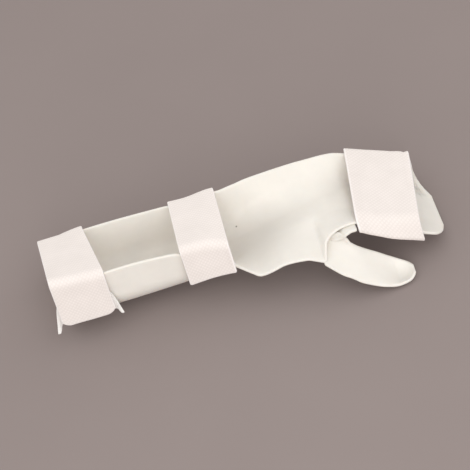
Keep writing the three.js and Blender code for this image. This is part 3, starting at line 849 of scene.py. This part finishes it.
def hook_fabric():
    """Hook strip: warm white, small hooks in rows."""
    nodes = Nodes("hook_tab")
    place = object_coordinates(nodes)
    hooks = nodes.add("ShaderNodeTexVoronoi", Scale=900.0)
    nodes.join(place, hooks.inputs["Vector"])
    colour = nodes.ramp(hooks.outputs["Distance"], (0.1, 0.6), HOOK_TINTS)
    nodes.join(colour, nodes.shader.inputs["Base Color"])
    nodes.shader.inputs["Roughness"].default_value = 0.7
    nodes.bump([(hooks.outputs["Distance"], 0.3, 0.0002)])
    return nodes.material


def floor_paper():
    """Warm grey paper, faintly mottled."""
    nodes = Nodes("floor_paper")
    place = object_coordinates(nodes)
    tone = nodes.ramp(nodes.noise(place, scale=3, detail=3), (0.3, 0.7), FLOOR_TINTS)
    nodes.join(tone, nodes.shader.inputs["Base Color"])
    nodes.shader.inputs["Roughness"].default_value = 0.9
    nodes.shader.inputs["Specular IOR Level"].default_value = 0.15
    return nodes.material


# The pieces

half_sheet = SHEET / 2
palm_grid = loft(shell_line, shell_rows, SHELL_STEP, SHELL_COLUMNS, half_sheet)
thumb_grid = loft(thumb_line, thumb_rows, THUMB_STEP, THUMB_COLUMNS, half_sheet)
thumb_grid = faired(thumb_grid, THUMB_FAIRING_ROUNDS, THUMB_KEPT_FROM)
web_grid = loft(web_line, web_rows, THUMB_STEP, WEB_COLUMNS, half_sheet)
palm = closed_sheet(palm_grid, SHEET)
thumb = closed_sheet(thumb_grid, SHEET)
web = closed_sheet(web_grid, SHEET)
rest = rest_matrix(np.concatenate([palm[0], thumb[0]]))


def to_rest(point):
    return rest @ Vector(point)


def on_sheet(x, y):
    """The point of the sheet's upper face above a place in the splint's frame, as it rests."""
    line = shell_line(x)[::-1]
    return to_rest((x, y, np.interp(y, line[:, 0], line[:, 1]) + half_sheet))


plastic = moulded_sheet(on_sheet(*MARK), on_sheet(*PAINTED_SHADE_PATCH))
fabric = strap_fabric()
hooks = hook_fabric()


def united(first, second):
    """The first piece joined to the second, which is used up."""
    union = first.modifiers.new("union", "BOOLEAN")
    union.operation = "UNION"
    union.solver = "EXACT"
    union.object = second
    bpy.context.view_layer.update()
    seen = first.evaluated_get(bpy.context.evaluated_depsgraph_get())
    mesh = bpy.data.meshes.new_from_object(seen)
    first.modifiers.clear()
    first.data = mesh
    bpy.data.objects.remove(second)
    return first


def build_shell():
    """The palm's sheet with the thumb's trough and the web fused on."""
    shell = add_piece("shell", palm[0], palm[1], rest, plastic)
    lobe = add_piece("thumb_lobe", thumb[0], thumb[1], rest, plastic)
    flange = add_piece("web_flange", web[0], web[1], rest, plastic)
    shell = united(united(shell, lobe), flange)
    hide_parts("splint_shell")
    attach(shell, "root")


def lattice_relief(u, v):
    """How far the fabric's face stands off, in millimetres: grooves where the two diagonals run.

    They fade out towards the strap's edges, where the fabric is pressed flat."""
    step = LATTICE_PITCH * math.sqrt(2)
    first = np.abs(np.sin(math.pi * (u + v) / step))
    second = np.abs(np.sin(math.pi * (u - v) / step))
    from_edge = np.minimum(np.minimum(u, u.max() - u), np.minimum(v, v.max() - v))
    fade = np.clip(from_edge / LATTICE_FADE, 0, 1)
    return LATTICE_DEPTH * fade * (np.minimum(first, second) ** GROOVE_POWER - 1)


def build_strap(name, strap):
    """One strap and its flat measure."""
    grid, length = strap_grid(strap)
    rows, columns = grid.shape[:2]
    u = np.linspace(0, strap["near_width"], rows)[:, None] * np.ones((1, columns))
    v = np.linspace(0, length, columns)[None, :] * np.ones((rows, 1))
    vertices, faces, at = closed_sheet(grid, STRAP_THICKNESS, lattice_relief(u, v), STRAP_SQUARENESS)
    uv = np.stack([u[at[:, 0], at[:, 1]], v[at[:, 0], at[:, 1]]], 1)
    edge = (np.arange(len(vertices)) >= 2 * rows * columns).astype(float)
    piece = add_piece(name + "_fabric", vertices, faces, rest, fabric, uv, edge)
    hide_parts(name)
    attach(piece, "root")


def build_corner_tab():
    """The tab under the forearm strap's near end."""
    vertices, faces, _ = closed_sheet(corner_tab_grid(), TAB_THICKNESS)
    piece = add_piece("curled_tab", vertices, faces, rest, hooks)
    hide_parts("forearm_near_tab")
    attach(piece, "root")


build_shell()
for strap_name, strap_sizes in STRAPS.items():
    build_strap(strap_name, strap_sizes)
build_corner_tab()

# The other tabs are the solids themselves, in the same fabric
for node_name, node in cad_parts.items():
    if node_name.endswith("_tab"):
        node.data.materials.clear()
        node.data.materials.append(hooks)


# Floor, light and camera

# In metres: how far the floor reaches each way, the lights' diameter, and each light's place with
# its power in watts
FLOOR_REACH = 12
LIGHT_SIZE = 1.2
LIGHTS = {"front_top": ((0.3, -1.3, 1.3), 2.5), "front_low": ((-0.1, -1.75, 0.65), 9)}
STUDIO_WHITE = (1.0, 0.99, 0.98)
WORLD_STRENGTH = 1.02


def add_floor():
    mesh = bpy.data.meshes.new("floor")
    reach = FLOOR_REACH
    corners = [(-reach, -reach, 0), (reach, -reach, 0), (reach, reach, 0), (-reach, reach, 0)]
    mesh.from_pydata(corners, [], [(0, 1, 2, 3)])
    mesh.materials.append(floor_paper())
    floor = bpy.data.objects.new("floor", mesh)
    bpy.context.scene.collection.objects.link(floor)


def add_area_light(name, place, power):
    """A round light that shines towards the origin."""
    light = bpy.data.lights.new(name, "AREA")
    light.shape = "DISK"
    light.size = LIGHT_SIZE
    light.energy = power
    light.color = STUDIO_WHITE
    lamp = bpy.data.objects.new(name, light)
    lamp.location = place
    lamp.rotation_euler = (-Vector(place)).to_track_quat("-Z", "Y").to_euler()
    bpy.context.scene.collection.objects.link(lamp)


def add_lights():
    """An even white surround and two lights on the near side."""
    world = bpy.data.worlds.new("studio")
    bpy.context.scene.world = world
    world.use_nodes = True
    background = world.node_tree.nodes["Background"]
    background.inputs["Color"].default_value = (*STUDIO_WHITE, 1)
    background.inputs["Strength"].default_value = WORLD_STRENGTH
    for name, (place, power) in LIGHTS.items():
        add_area_light(name, place, power)


# The photograph's camera, in the splint's frame: a long lens, 35 degrees above the trough's floor
CAMERA_AIM = (197, 0, 20)
CAMERA_AIM_PIXEL = (236, 236)
CAMERA_AZIMUTH = math.radians(1.0)
CAMERA_ELEVATION = math.radians(35)
CAMERA_ROLL = math.radians(17.6)
CAMERA_DISTANCE = 2400
PIXELS_PER_MM = 0.945
PHOTO_SIZE = 470
SENSOR = 36
CLIP_END = 100


def add_camera():
    """The camera that shows the splint as the photograph does."""
    camera = bpy.data.cameras.new("camera")
    camera.sensor_width = SENSOR
    camera.lens = PIXELS_PER_MM * CAMERA_DISTANCE / PHOTO_SIZE * SENSOR
    camera.clip_end = CLIP_END
    a, e = CAMERA_AZIMUTH, CAMERA_ELEVATION
    back = Vector((math.sin(a) * math.cos(e), -math.cos(a) * math.cos(e), math.sin(e)))
    right = Vector((math.cos(a), math.sin(a), 0))
    up = back.cross(right)
    turned_right = right * math.cos(CAMERA_ROLL) - up * math.sin(CAMERA_ROLL)
    turned_up = back.cross(turned_right)
    off = [(pixel - PHOTO_SIZE / 2) / PIXELS_PER_MM for pixel in CAMERA_AIM_PIXEL]
    aim = Vector(CAMERA_AIM) - turned_right * off[0] + turned_up * off[1]
    place = aim + back * CAMERA_DISTANCE
    turn = REST_TURN.to_3x3() @ Matrix((turned_right, turned_up, back)).transposed()
    holder = bpy.data.objects.new("camera", camera)
    holder.matrix_world = Matrix.Translation(rest @ place) @ turn.to_4x4()
    bpy.context.scene.collection.objects.link(holder)
    bpy.context.scene.camera = holder


add_floor()
add_lights()
add_camera()
bpy.context.scene.view_settings.view_transform = "Standard"
